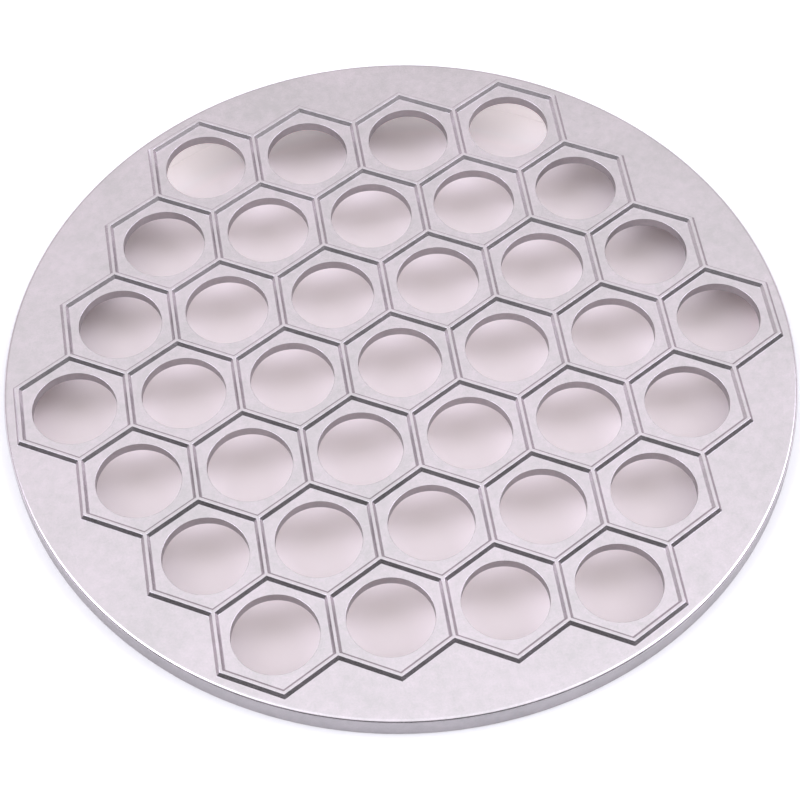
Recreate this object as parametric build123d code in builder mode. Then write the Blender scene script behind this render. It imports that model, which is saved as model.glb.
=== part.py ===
from build123d import *
import os
from math import hypot, radians, sqrt, tan

# A dumpling mould: one round aluminium casting, laid flat on a table. Honeycomb ribs stand on its
# upper face and cut the dough into hexagons, and every cell has a round hole that the filled dough
# sags into and is pushed out through. The origin is the centre of the face it rests on, +Z is up,
# and the rows of cells run along X. All lengths are in millimetres and all angles in degrees.

# Honeycomb
cell_pitch = 35.7  # across the flats, from the middle of one rib to the middle of the next
rings_of_cells = 3  # rings around the middle cell: 1 + 6 + 12 + 18 = 37 cells
rib_height = 1.2  # crest above the cell floors and the flange
rib_crest_width = 0.9  # flat land along the top of each rib
rib_flank_angle = 40.0  # lean of a rib's flanks from the vertical
ledge_width = 2.6  # cell floor left between a hole and the foot of the rib, at its narrowest

# Plate and rim
plate_thickness = 3.8  # metal that the holes pass through
recess_depth = 4.2  # how far the plate is held above the table by the rim
corner_margin = 3.1  # flange left outside the furthest corner of the honeycomb
rim_foot_width = 4.4  # width of the ring that meets the table, before its edges are broken
rim_draft_angle = 6.0  # lean of the rim's inner wall, for lifting the casting from its mould
flange_edge_break = 1.0  # chamfer on the outer edge of the flange
foot_edge_break = 0.4  # chamfer on both edges of the foot
recess_root_bevel = 1.5  # leg of the sloping corner where the rim's inner wall meets the plate

# Worked out from the sizes above
row_spacing = cell_pitch * sqrt(3) / 2
flange_top = recess_depth + plate_thickness
rib_flank_run = rib_height * tan(radians(rib_flank_angle))
rib_foot_outside = cell_pitch + rib_crest_width + 2 * rib_flank_run  # across the flats of one cell
crest_inside = cell_pitch - rib_crest_width
cell_floor = crest_inside - 2 * rib_flank_run
hole_radius = cell_floor / 2 - ledge_width
corner_reach = hypot(rings_of_cells * cell_pitch + rib_foot_outside / 2, rib_foot_outside / sqrt(12))
disc_radius = corner_reach + corner_margin
foot_inner_radius = disc_radius - rim_foot_width
recess_radius = foot_inner_radius - recess_depth * tan(radians(rim_draft_angle))


def cell_centres():
    """Middle of each cell, row by row from the near side to the far side."""
    centres = []
    for row in range(-rings_of_cells, rings_of_cells + 1):
        cells_in_row = 2 * rings_of_cells + 1 - abs(row)
        for place in range(cells_in_row):
            x = (place - (cells_in_row - 1) / 2) * cell_pitch
            centres.append((x, row * row_spacing))
    return centres


def cell_hexagon(across_flats):
    """The outline of one cell, with a corner towards +Y, in the sketch that is open."""
    RegularPolygon(radius=across_flats / 2, side_count=6, major_radius=False, rotation=30)


# One cell's share of the ribs, before it is hollowed: its walls lean inwards as they rise
with BuildPart() as cell_block:
    with BuildSketch(Plane.XY.offset(flange_top)):
        cell_hexagon(rib_foot_outside)
    extrude(amount=rib_height, taper=rib_flank_angle)

# What is sunk into each block: the same shape turned over, so its walls lean inwards as they go down
with BuildPart() as cell_pocket:
    with BuildSketch(Plane.XY.offset(flange_top)):
        cell_hexagon(crest_inside)
    extrude(amount=rib_height, taper=rib_flank_angle)
    mirror(about=Plane.XY.offset(flange_top + rib_height / 2), mode=Mode.REPLACE)

with BuildPart() as mould_plate:
    # The disc and its rim are one turned profile, hollow underneath inside the foot
    with BuildSketch(Plane.XZ) as section:
        with BuildLine():
            Polyline(
                (0, recess_depth),
                (recess_radius, recess_depth),
                (foot_inner_radius, 0),
                (disc_radius, 0),
                (disc_radius, flange_top),
                (0, flange_top),
                close=True,
            )
        make_face()
        chamfer(section.vertices().group_by(Axis.Y)[0], foot_edge_break)
        flange_edge = section.vertices().sort_by_distance((disc_radius, flange_top))[0]
        chamfer(flange_edge, flange_edge_break)
        recess_root = section.vertices().sort_by_distance((recess_radius, recess_depth))[0]
        chamfer(recess_root, recess_root_bevel)
    revolve(axis=Axis.Z)

    # The honeycomb: neighbouring blocks run into each other, and the pockets leave the ribs between
    with Locations(*cell_centres()):
        add(cell_block.part)
    with Locations(*cell_centres()):
        add(cell_pocket.part, mode=Mode.SUBTRACT)

    # The hole in each cell goes through the plate
    with Locations(Plane.XY.offset(flange_top)):
        with Locations(*cell_centres()):
            Hole(radius=hole_radius)

mould_plate.part.label = "mould_plate"

os.makedirs("parts", exist_ok=True)
export_step(mould_plate.part, "parts/mould_plate.step")

print("cells:", len(cell_centres()))
print("disc diameter:", round(2 * disc_radius, 2), "hole diameter:", round(2 * hole_radius, 2))
print("cell floor across flats:", round(cell_floor, 2), "height:", round(flange_top + rib_height, 2))
print("solids:", len(mould_plate.part.solids()), "volume:", round(mould_plate.part.volume))
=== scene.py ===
# %% [markdown]
# # A cast dumpling mould
#
# The mould is one round casting of aluminium. Dough is laid over the honeycomb on its upper face,
# a spoon of filling goes into each cell, and a second sheet of dough covers them. A rolling pin
# presses the dough onto the ribs, which cut it into hexagons, and the filled pieces are pushed out
# through the holes.
#
# This lesson dresses that casting: a camera, a softly lit room, a table, a finely rounded mesh of
# the whole casting, and the finish of the metal. Every length is in metres, as Blender counts them.

# %% Load the frame
from math import atan2, cos, pi, radians, sin, sqrt, tan

import bmesh
import bpy
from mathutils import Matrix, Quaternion, Vector


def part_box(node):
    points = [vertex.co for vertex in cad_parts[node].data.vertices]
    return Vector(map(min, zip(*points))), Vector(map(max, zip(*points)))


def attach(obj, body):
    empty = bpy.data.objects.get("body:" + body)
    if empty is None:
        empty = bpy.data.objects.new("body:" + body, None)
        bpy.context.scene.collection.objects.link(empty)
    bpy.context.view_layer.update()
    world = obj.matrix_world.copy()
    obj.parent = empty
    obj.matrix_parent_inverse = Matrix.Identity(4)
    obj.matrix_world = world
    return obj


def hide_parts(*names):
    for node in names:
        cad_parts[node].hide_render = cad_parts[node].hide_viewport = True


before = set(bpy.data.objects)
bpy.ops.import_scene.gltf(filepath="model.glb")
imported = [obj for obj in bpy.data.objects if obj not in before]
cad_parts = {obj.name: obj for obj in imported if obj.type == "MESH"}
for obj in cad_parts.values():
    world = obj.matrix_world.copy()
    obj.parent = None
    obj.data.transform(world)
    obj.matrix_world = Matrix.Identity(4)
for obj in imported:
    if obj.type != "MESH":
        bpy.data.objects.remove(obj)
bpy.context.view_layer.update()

# %% [markdown]
# # The camera
#
# The picture looks down on the near side of the mould from a little left of its middle. A camera
# is easiest to read as the point it looks at, how far off it stands, and three angles. It could
# also be placed by typing in its rotation, but nobody can check such numbers by eye. The long lens
# keeps the far cells nearly as large as the near ones.

# %% Place the camera
mm = 0.001
camera_target = Vector((-0.00251, -0.01548, 0.0092))
camera_distance = 0.75232
camera_azimuth = radians(-7.967)
camera_elevation = radians(56.523)
camera_roll = radians(-1.470)

towards_camera = Vector((
    sin(camera_azimuth) * cos(camera_elevation),
    -cos(camera_azimuth) * cos(camera_elevation),
    sin(camera_elevation),
))
camera = bpy.data.objects.new("camera", bpy.data.cameras.new("camera"))
camera.data.sensor_width = 36
camera.data.lens = 104.4446
camera.location = camera_target + camera_distance * towards_camera
camera.rotation_mode = "QUATERNION"
level_turn = (-towards_camera).to_track_quat("-Z", "Y")
camera.rotation_quaternion = level_turn @ Quaternion((0, 0, 1), camera_roll)
bpy.context.scene.collection.objects.link(camera)
bpy.context.scene.camera = camera
bpy.context.scene.view_settings.view_transform = "Standard"
print("the camera stands at", [round(v, 3) for v in camera.location])

# %% [markdown]
# # Writing shader maths as expressions
#
# Materials are made of nodes, and sums made of nodes soon grow long. The small class below wraps an
# output socket, so that `1 - mask` or `noise * 0.2 + 0.9` adds the Math nodes by itself. Any other
# node comes from `node`, which sets the node's own settings first and its sockets afterwards.

# %% Wire: one output of a node
class Wire:
    """An output socket. Arithmetic on it adds Math nodes to the same node tree."""

    def __init__(self, socket):
        self.socket = socket

    def maths(self, operation, first, second):
        tree = self.socket.id_data
        return node(tree, "ShaderNodeMath", {"operation": operation}, {0: first, 1: second})

    def __add__(self, other):
        return self.maths("ADD", self, other)

    def __sub__(self, other):
        return self.maths("SUBTRACT", self, other)

    def __rsub__(self, other):
        return self.maths("SUBTRACT", other, self)

    def __mul__(self, other):
        return self.maths("MULTIPLY", self, other)

    __radd__ = __add__
    __rmul__ = __mul__


def node(tree, kind, settings={}, sockets={}, output=0):
    """Adds a node, applies its settings, feeds its input sockets and wraps one of its outputs."""
    made = tree.nodes.new(kind)
    for name, value in settings.items():
        setattr(made, name, value)
    for name, value in sockets.items():
        if isinstance(value, Wire):
            tree.links.new(value.socket, made.inputs[name])
        else:
            made.inputs[name].default_value = value
    return None if output is None else Wire(made.outputs[output])


def between(tree, value, low, high, steps="SMOOTHSTEP", to=(0.0, 1.0)):
    """Maps the range low to high onto another range, and stays level outside it."""
    return node(tree, "ShaderNodeMapRange", {"interpolation_type": steps}, {
        "Value": value, "From Min": low, "From Max": high, "To Min": to[0], "To Max": to[1],
    })


# %% [markdown]
# # A softly lit room
#
# Satin metal is a blurred mirror: what it looks like depends on what it faces. The level faces of
# the casting mirror the ceiling behind it, the slopes of the ribs that face us mirror the low
# front of the room, and the side of the rim mirrors the table. So the room is painted by direction.
# A wide bright ceiling fades into pale walls that are a little warmer, and the low front, where
# the camera stands, is dark: it draws the dark lines along the ribs. Two lamps halfway up the left
# and the right wall shine in through the holes and shape the shading on the table under them.
# Area lamps could light the scene as well, but they would stand in the metal with hard edges,
# and light that is painted by direction can fade out as slowly as we like.

# %% The room around the mould
lamp_axis = Vector((0.0, -0.34, 0.94)).normalized()
lamp_reach = (0.20, 0.90)
lamp_levels = (0.66, 1.30)
lamp_colour = (0.985, 0.99, 1.02, 1)
wall_colour = (1.0, 0.955, 0.972, 1)
front_cut = Vector((0.05, 0.50, 0.866)).normalized()  # what points against this is the front
front_fade = (0.05, 0.24)
front_level = 0.09
side_axis = Vector((0.63, 0.02, 0.775)).normalized()
side_reach = (0.92, 0.985)
side_level = 3.6
side_colour = (0.985, 0.99, 1.18, 1)

world = bpy.data.worlds.new("soft_studio")
world.use_nodes = True
bpy.context.scene.world = world
air = world.node_tree
air.nodes.clear()
direction = node(air, "ShaderNodeTexCoord", output="Generated")


def along(axis):
    """How far a direction of the room points along an axis, from -1 to 1."""
    return node(air, "ShaderNodeVectorMath", {"operation": "DOT_PRODUCT"}, {
        0: direction, 1: axis,
    }, output="Value")


lamp = between(air, along(lamp_axis), *lamp_reach)
right_lamp = between(air, along(side_axis), *side_reach)
mirror_in_x = Vector((-1, 1, 1))
left_lamp = between(air, along(side_axis * mirror_in_x), *side_reach)
not_front = between(air, along(front_cut), *front_fade)
bright = lamp * (lamp_levels[1] - lamp_levels[0]) + lamp_levels[0]
level = (bright - front_level) * not_front + front_level
tint = node(air, "ShaderNodeMix", {"data_type": "RGBA"}, {
    "Factor": lamp, 6: wall_colour, 7: lamp_colour,
}, output=2)
soft_room = node(air, "ShaderNodeBackground", {}, {"Color": tint, "Strength": level})
side_lamps = node(air, "ShaderNodeBackground", {}, {
    "Color": side_colour, "Strength": (right_lamp + left_lamp) * side_level,
})
lit_room = node(air, "ShaderNodeAddShader", {}, {0: soft_room, 1: side_lamps})
white_room = node(air, "ShaderNodeBackground", {}, {"Color": (1, 1, 1, 1), "Strength": 1})
seen_directly = node(air, "ShaderNodeLightPath", output="Is Camera Ray")
room = node(air, "ShaderNodeMixShader", {}, {0: seen_directly, 1: lit_room, 2: white_room})
node(air, "ShaderNodeOutputWorld", {}, {"Surface": room}, output=None)
print("the room's light runs from", front_level, "in front to", lamp_levels[1], "overhead")

# %% [markdown]
# # The table
#
# The mould lies on a pale sheet that shows through its holes. Around the mould the sheet is clear
# white, which comes from a little light of its own that only the camera and mirrors see. More
# light on the whole scene would whiten the sheet too, but would burn out the metal.
#
# Through the holes the sheet looks about a centimetre lower than the foot of the rim, because its
# shading is soft and spreads past each hole. So the table has a shallow round well under the mould,
# a little narrower than the rim, whose foot rests on the level sheet around it. The picture also
# shows light that comes in under the far edge of the mould, where our rim closes the well. A faint
# glow on the far side of the well stands for it.

# %% Lay the sheet
sheet_reach = 6.0
well_radius = 127.8 * mm
well_depth = 10 * mm
sides = 128
well_colour = (0.91, 0.82, 0.812, 1)
open_colour = (0.82, 0.82, 0.82, 1)
glow_colour = (1, 0.95, 0.98, 1)
open_glow = 0.12
leak_glow = 0.42
leak_radii = (106 * mm, 130 * mm)  # the glow fades in between these distances from the middle
leak_far = (60 * mm, 110 * mm)  # and between these distances towards the far side


def sheet_ring(radius, height):
    """Points of a ring of the sheet."""
    turns = [2 * pi * side / sides for side in range(sides)]
    return [(radius * cos(turn), radius * sin(turn), height) for turn in turns]


sheet_points = sheet_ring(sheet_reach, 0)
sheet_points += sheet_ring(well_radius, 0)
sheet_points += sheet_ring(well_radius, -well_depth)
well_bottom = tuple(range(2 * sides, 3 * sides))
sheet_faces = [well_bottom]
for side in range(sides):
    after = (side + 1) % sides
    for outer in (0, sides):
        inner = outer + sides
        sheet_faces.append((outer + side, outer + after, inner + after, inner + side))
sheet_mesh = bpy.data.meshes.new("table")
sheet_mesh.from_pydata(sheet_points, [], sheet_faces)
table = bpy.data.objects.new("table", sheet_mesh)
bpy.context.scene.collection.objects.link(table)

paper = bpy.data.materials.new("pale_sheet")
paper.use_nodes = True
web = paper.node_tree
web.nodes.clear()
spot = node(web, "ShaderNodeTexCoord", output="Object")
off_middle = node(web, "ShaderNodeVectorMath", {"operation": "LENGTH"}, {0: spot}, output="Value")
spot_y = node(web, "ShaderNodeSeparateXYZ", {}, {0: spot}, output="Y")
spot_z = Wire(spot_y.socket.node.outputs["Z"])
open_sheet = between(web, spot_z, -well_depth / 2, 0)
sheet_colour = node(web, "ShaderNodeMix", {"data_type": "RGBA"}, {
    "Factor": open_sheet, 6: well_colour, 7: open_colour,
}, output=2)
matt = node(web, "ShaderNodeBsdfDiffuse", {}, {"Color": sheet_colour})
camera_ray = node(web, "ShaderNodeLightPath", output="Is Camera Ray")
glossy_ray = Wire(camera_ray.socket.node.outputs["Is Glossy Ray"])
passing_ray = Wire(camera_ray.socket.node.outputs["Is Transmission Ray"])
near_wall = between(web, off_middle, *leak_radii)
far_side = between(web, spot_y, *leak_far)
leak = near_wall * far_side * (1 - open_sheet)
glow = open_sheet * open_glow + leak * leak_glow
own_light = node(web, "ShaderNodeEmission", {}, {
    "Color": glow_colour, "Strength": (camera_ray + glossy_ray + passing_ray) * glow,
})
surface = node(web, "ShaderNodeAddShader", {}, {0: matt, 1: own_light})
node(web, "ShaderNodeOutputMaterial", {}, {"Surface": surface}, output=None)
sheet_mesh.materials.append(paper)
print("the sheet reaches", sheet_reach, "m out and its well is", well_depth / mm, "mm deep")

# %% [markdown]
# # The sizes of the casting
#
# The honeycomb has one cell in the middle and three rings around it. Its pitch is the distance
# between the middles of two neighbouring cells. The outer size and the height come from the frame,
# and the rest are the same numbers that the casting's own drawing uses.

# %% Name the sizes
low_corner, high_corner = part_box("mould_plate")
disc_radius = min(high_corner.x, high_corner.y, -low_corner.x, -low_corner.y)
rib_top = high_corner.z
cell_pitch = 35.7 * mm
rings_of_cells = 3
rib_height = 1.2 * mm
rib_crest_width = 0.9 * mm
rib_flank_angle = radians(40)
ledge_width = 2.6 * mm
recess_depth = 4.2 * mm
rim_foot_width = 4.4 * mm
rim_draft_angle = radians(6)

flange_top = rib_top - rib_height
flank_run = rib_height * tan(rib_flank_angle)
half_pitch = cell_pitch / 2
half_crest = rib_crest_width / 2
hole_radius = half_pitch - half_crest - flank_run - ledge_width
foot_inner_radius = disc_radius - rim_foot_width
recess_radius = foot_inner_radius - recess_depth * tan(rim_draft_angle)
print("holes", round(2 * hole_radius / mm, 2), "mm, disc", round(2 * disc_radius / mm, 2), "mm")

# %% [markdown]
# # Rounding a profile
#
# No edge of a casting is truly sharp. The width of each rounding is what the eye reads first,
# because a rounded edge mirrors a whole sweep of the room in a line a millimetre wide: bright where
# it faces up and dark where it faces the low front. Blender's Bevel modifier could round the
# edges, but it takes one width for all. Here the roundings are drawn into the cross-section
# instead, each with its own radius, and the section is then carried around the casting. A line
# needs a lead before its first bend and after its last, which gives them their direction and is
# dropped afterwards.

# %% A cross-section with rounded corners
def rounded(corners, radii, steps):
    """A line through the corners, given as (across, up), with an arc of each radius in each bend."""
    line = [Vector(corners[0])]
    for before, corner, after, radius in zip(corners, corners[1:], corners[2:], radii):
        corner = Vector(corner)
        leave = (Vector(before) - corner).normalized()
        arrive = (Vector(after) - corner).normalized()
        half_bend = leave.angle(arrive) / 2
        middle = corner + (leave + arrive).normalized() * radius / sin(half_bend)
        first = corner + leave * radius / tan(half_bend) - middle
        last = corner + arrive * radius / tan(half_bend) - middle
        sweep = first.angle(last)
        for step in range(steps + 1):
            share = step / steps
            spoke = first * sin((1 - share) * sweep) + last * sin(share * sweep)
            line.append(middle + spoke / sin(sweep))
    line.append(Vector(corners[-1]))
    return line


lead = 2 * mm
hole_edge_round = 0.12 * mm
hole_lower_round = 0.15 * mm
rib_foot_round = 0.08 * mm
rib_crest_round = 0.12 * mm

hole_profile = rounded(
    [(hole_radius + lead, recess_depth), (hole_radius, recess_depth),
     (hole_radius, flange_top), (hole_radius + lead, flange_top)],
    [hole_lower_round, hole_edge_round], steps=4,
)[1:-1]
rib_profile = rounded(
    [(half_pitch - half_crest - flank_run - lead, flange_top),
     (half_pitch - half_crest - flank_run, flange_top),
     (half_pitch - half_crest, rib_top), (half_pitch, rib_top)],
    [rib_foot_round, rib_crest_round], steps=3,
)[1:]
print("the hole's section has", len(hole_profile), "points and the rib's", len(rib_profile))

# %% [markdown]
# # One cell, from its hole to the middle of its ribs
#
# Each cell is a fan of thin slices around its hole. In every slice the section runs up the wall of
# the hole, over its rounded edge, across the floor and up the rib to the middle of the crest. Near
# the hole the rings are circles, near the rib they are hexagons, and one ring between them is half
# of each. The slices are set so that two neighbouring cells meet point to point on their shared
# rib, and welding those points joins the cells. Cutting the shape with Boolean modifiers would be
# shorter, but it leaves long thin triangles that catch the light.

# %% Build the cells
slices_per_side = 12
slice_angle = radians(60) / slices_per_side


def cell_middles():
    """Middle of each cell, row by row from the near side to the far side."""
    middles = []
    for row in range(-rings_of_cells, rings_of_cells + 1):
        count = 2 * rings_of_cells + 1 - abs(row)
        for place in range(count):
            across = (place - (count - 1) / 2) * cell_pitch
            middles.append(Vector((across, row * cell_pitch * sqrt(3) / 2)))
    return middles


def circle_point(turn, radius):
    """A point of a circle, in the plane, at an angle from +X."""
    return Vector((radius * cos(turn), radius * sin(turn)))


def hexagon_point(turn, half_width):
    """A point of a hexagon with flat sides towards +X and -X, at an angle from +X."""
    off_side = (turn + radians(30)) % radians(60) - radians(30)
    return circle_point(turn, half_width / cos(off_side))


def join_rings(mesh, rings):
    """Fills the bands between closed rings of vertices that have the same count."""
    for inner, outer in zip(rings, rings[1:]):
        for first in range(len(inner)):
            second = (first + 1) % len(inner)
            mesh.faces.new((inner[first], outer[first], outer[second], inner[second]))


def cell_rings(mesh, middle):
    """The rings of vertices of one cell, from the underside through the hole to the rib's crest."""
    turns = [slice_angle * step for step in range(6 * slices_per_side)]

    def ring(height, point):
        return [mesh.verts.new((*(middle + point(turn)), height)) for turn in turns]

    rings = [ring(recess_depth, lambda turn: hexagon_point(turn, half_pitch))]
    for radius, height in hole_profile:
        rings.append(ring(height, lambda turn: circle_point(turn, radius)))
    floor_circle = hole_profile[-1][0]
    floor_hexagon = rib_profile[0][0]
    rings.append(ring(flange_top, lambda turn: (
        circle_point(turn, floor_circle) + hexagon_point(turn, floor_hexagon)) / 2))
    for half_width, height in rib_profile:
        rings.append(ring(height, lambda turn: hexagon_point(turn, half_width)))
    return rings


casting = bmesh.new()
for middle in cell_middles():
    join_rings(casting, cell_rings(casting, middle))
print(len(cell_middles()), "cells,", len(casting.faces), "faces")

# %% [markdown]
# # The outside of the honeycomb
#
# The cells on the border have no neighbour on one, two or three sides, so the outer half of their
# ribs is missing. The border is one closed line of straight pieces that turns out at each corner
# and in at each notch. Moving every piece outwards by the same distance keeps the rib equally thick
# all the way round, if the points near a corner also slide along the rib by a share of that
# distance: forwards at a corner that turns out, backwards in a notch. This is how a joiner mitres
# a picture frame.

# %% Follow the border
cell_steps = [circle_point(radians(60 * side), cell_pitch) for side in range(6)]


def has_cell(spot):
    """True if a cell stands at this point."""
    return any((spot - middle).length < half_pitch for middle in cell_middles())


def border_points():
    """Points along the border, each with the direction in which it moves outwards."""
    pieces = []
    for middle in cell_middles():
        for side in range(6):
            if has_cell(middle + cell_steps[side]):
                continue
            notch_after = has_cell(middle + cell_steps[(side + 1) % 6])
            notch_before = has_cell(middle + cell_steps[side - 1])
            outwards = circle_point(radians(60 * side), 1)
            sideways = circle_point(radians(60 * side + 90), 1)
            slide_after = -tan(radians(30)) if notch_after else tan(radians(30))
            slide_before = tan(radians(30)) if notch_before else -tan(radians(30))
            start = middle + outwards * half_pitch
            pieces.append((start, outwards, sideways, slide_before, slide_after))
    pieces.sort(key=lambda piece: atan2(piece[0].y, piece[0].x))
    points = []
    for start, outwards, sideways, slide_before, slide_after in pieces:
        for step in range(slices_per_side):
            offset = tan(slice_angle * step - radians(30))
            share = (offset / tan(radians(30)) + 1) / 2
            slide = slide_before + (slide_after - slide_before) * share
            points.append((start + sideways * offset * half_pitch, outwards + sideways * slide))
    return points


border = border_points()
print("the border has", len(border), "points")

# %% [markdown]
# # The flange, the rim and the underside
#
# Outside the border the casting is a plain turned disc, so its section is carried round in a
# circle, as on a lathe. The circle is divided where the border's points are, seen from the middle,
# so that the flange between them is a band of four-sided faces. The section goes over the rounded
# edge of the flange, down the outside, across the foot, up the slightly leaning inside of the rim
# and into the ceiling of the recess.

# %% Turn the rim
flange_edge_round = 1.25 * mm
foot_edge_round = 0.50 * mm
recess_root_round = 1.80 * mm
flange_bands = 4

outer_rib = rounded(
    [(0, rib_top), (half_crest, rib_top), (half_crest + flank_run, flange_top),
     (half_crest + flank_run + lead, flange_top)],
    [rib_crest_round, rib_foot_round], steps=3,
)[:-1]
rim_profile = rounded(
    [(disc_radius - lead, flange_top), (disc_radius, flange_top), (disc_radius, 0),
     (foot_inner_radius, 0), (recess_radius, recess_depth), (recess_radius - lead, recess_depth)],
    [flange_edge_round, foot_edge_round, foot_edge_round, recess_root_round], steps=6,
)[1:-1]


def border_ring(distance, height):
    """The border moved outwards by a distance, as a ring of vertices."""
    return [casting.verts.new((*(spot + move * distance), height)) for spot, move in border]


def blend_rings(inner, outer, bands):
    """Rings of vertices spaced evenly between two rings, both included."""
    rings = [inner]
    for band in range(1, bands):
        share = band / bands
        rings.append([casting.verts.new(a.co.lerp(b.co, share)) for a, b in zip(inner, outer)])
    rings.append(outer)
    return rings


rib_rings = [border_ring(distance, height) for distance, height in outer_rib]
turns = [atan2(vertex.co.y, vertex.co.x) for vertex in rib_rings[-1]]
rim_rings = [
    [casting.verts.new((*circle_point(turn, radius), height)) for turn in turns]
    for radius, height in rim_profile
]
ceiling_edge = border_ring(0, recess_depth)
join_rings(casting, rib_rings)
join_rings(casting, blend_rings(rib_rings[-1], rim_rings[0], flange_bands))
join_rings(casting, rim_rings)
join_rings(casting, blend_rings(rim_rings[-1], ceiling_edge, flange_bands))
print("with the rim", len(casting.faces), "faces")

# %% [markdown]
# # Welding and smoothing
#
# Points that lie on each other become one, which closes the mesh. Then each edge where the surface
# bends by more than a rounding's step is marked sharp, so that the mitres of the ribs stay crisp,
# and the Weighted Normal modifier lets the large flat faces keep their own direction: only the
# roundings curve in the light.

# %% Weld the casting
weld_reach = 0.004 * mm
sharp_bend = radians(32)
flat_face_weight = 60

bmesh.ops.remove_doubles(casting, verts=casting.verts, dist=weld_reach)
bmesh.ops.recalc_face_normals(casting, faces=casting.faces)
open_edges = [edge for edge in casting.edges if len(edge.link_faces) != 2]
for edge in casting.edges:
    edge.smooth = edge.calc_face_angle(0) < sharp_bend
for face in casting.faces:
    face.smooth = True
casting_mesh = bpy.data.meshes.new("mould_casting")
casting.to_mesh(casting_mesh)
volume = casting.calc_volume(signed=True)
casting.free()
mould = bpy.data.objects.new("mould_casting", casting_mesh)
bpy.context.scene.collection.objects.link(mould)
weighted = mould.modifiers.new("flat_faces_stay_flat", "WEIGHTED_NORMAL")
weighted.keep_sharp = True
weighted.weight = flat_face_weight
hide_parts("mould_plate")
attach(mould, "root")
print(len(open_edges), "open edges,", round(volume * 1e9), "cubic millimetres of metal,",
      sum(len(face.vertices) - 2 for face in casting_mesh.polygons), "triangles")

# %% [markdown]
# # The finish of the metal
#
# The casting is aluminium with a faint warm, pinkish tone, in two finishes. Its upper face is worked
# to a satin. The walls of the holes, the side of the rim and the underside keep the skin that the
# metal had from its mould, which is duller. Their darker colour is partly that skin and partly
# painted shade, which stands in for the darker surroundings that these walls mirror. Both have slow
# changes of tone from handling, a finer mottle and a very fine grain. The grain belongs in the bump,
# because it tilts the surface, and the tone goes into the colour and the roughness. The mesh could
# be cut into two objects, one for each finish, but a face can choose its own material by the way it
# faces: every face that does not point up gets the darker colour with its painted shade.

# %% Two finishes of aluminium
patches_per_metre = 38
mottle_per_metre = 330
grain_per_metre = 1500
patches_share = 0.40
mottle_share = 0.35
grain_share = 0.25
tone_range = (0.38, 0.62)
worked_colours = ((0.645, 0.612, 0.635, 1), (0.745, 0.680, 0.728, 1))
worked_gloss = (0.22, 0.27)
worked_grain_depth = 0.012 * mm
# darker than the worked colours: partly the duller cast skin, partly painted shade on walls and
# underside
skin_and_painted_shade_colours = ((0.375, 0.355, 0.368, 1), (0.475, 0.445, 0.462, 1))
skin_gloss = (0.42, 0.50)
skin_grain_depth = 0.03 * mm
worked_points_up = 0.6  # a worked face points up at least this much, where 1 is level


def noise(tree, scale, detail=3.0):
    """Soft cloudy noise, from 0 to 1, of one grain size."""
    place = node(tree, "ShaderNodeTexCoord", output="Object")
    return node(tree, "ShaderNodeTexNoise", {}, {
        "Vector": place, "Scale": scale, "Detail": detail, "Roughness": 0.55,
    })


def cast_finish(name, colours, gloss, grain_depth):
    """Metal whose colour drifts between two tones and whose gloss wanders with them."""
    material = bpy.data.materials.new(name)
    material.use_nodes = True
    tree = material.node_tree
    tree.nodes.clear()
    patches = noise(tree, patches_per_metre)
    mottle = noise(tree, mottle_per_metre)
    grain = noise(tree, grain_per_metre, detail=2.0)
    tone = patches * patches_share + mottle * mottle_share + grain * grain_share
    shade = between(tree, tone, *tone_range, "LINEAR")
    base = node(tree, "ShaderNodeMix", {"data_type": "RGBA"}, {
        "Factor": shade, 6: colours[0], 7: colours[1],
    }, output=2)
    roughness = between(tree, tone, *tone_range, "LINEAR", to=gloss)
    bump = node(tree, "ShaderNodeBump", {}, {
        "Strength": 1.0, "Distance": grain_depth, "Height": (grain + mottle) * 0.5,
    })
    metal = node(tree, "ShaderNodeBsdfPrincipled", {}, {
        "Base Color": base, "Metallic": 1.0, "Roughness": roughness, "Normal": bump,
    })
    node(tree, "ShaderNodeOutputMaterial", {}, {"Surface": metal}, output=None)
    return material


casting_mesh.materials.append(
    cast_finish("cast_aluminium", worked_colours, worked_gloss, worked_grain_depth))
casting_mesh.materials.append(
    cast_finish("skin_and_painted_shade", skin_and_painted_shade_colours, skin_gloss, skin_grain_depth))
# faces that do not point up get the darker skin colour, which is partly painted shade
for face in casting_mesh.polygons:
    face.material_index = 0 if face.normal.z > worked_points_up else 1
print("finishes:", [material.name for material in casting_mesh.materials])
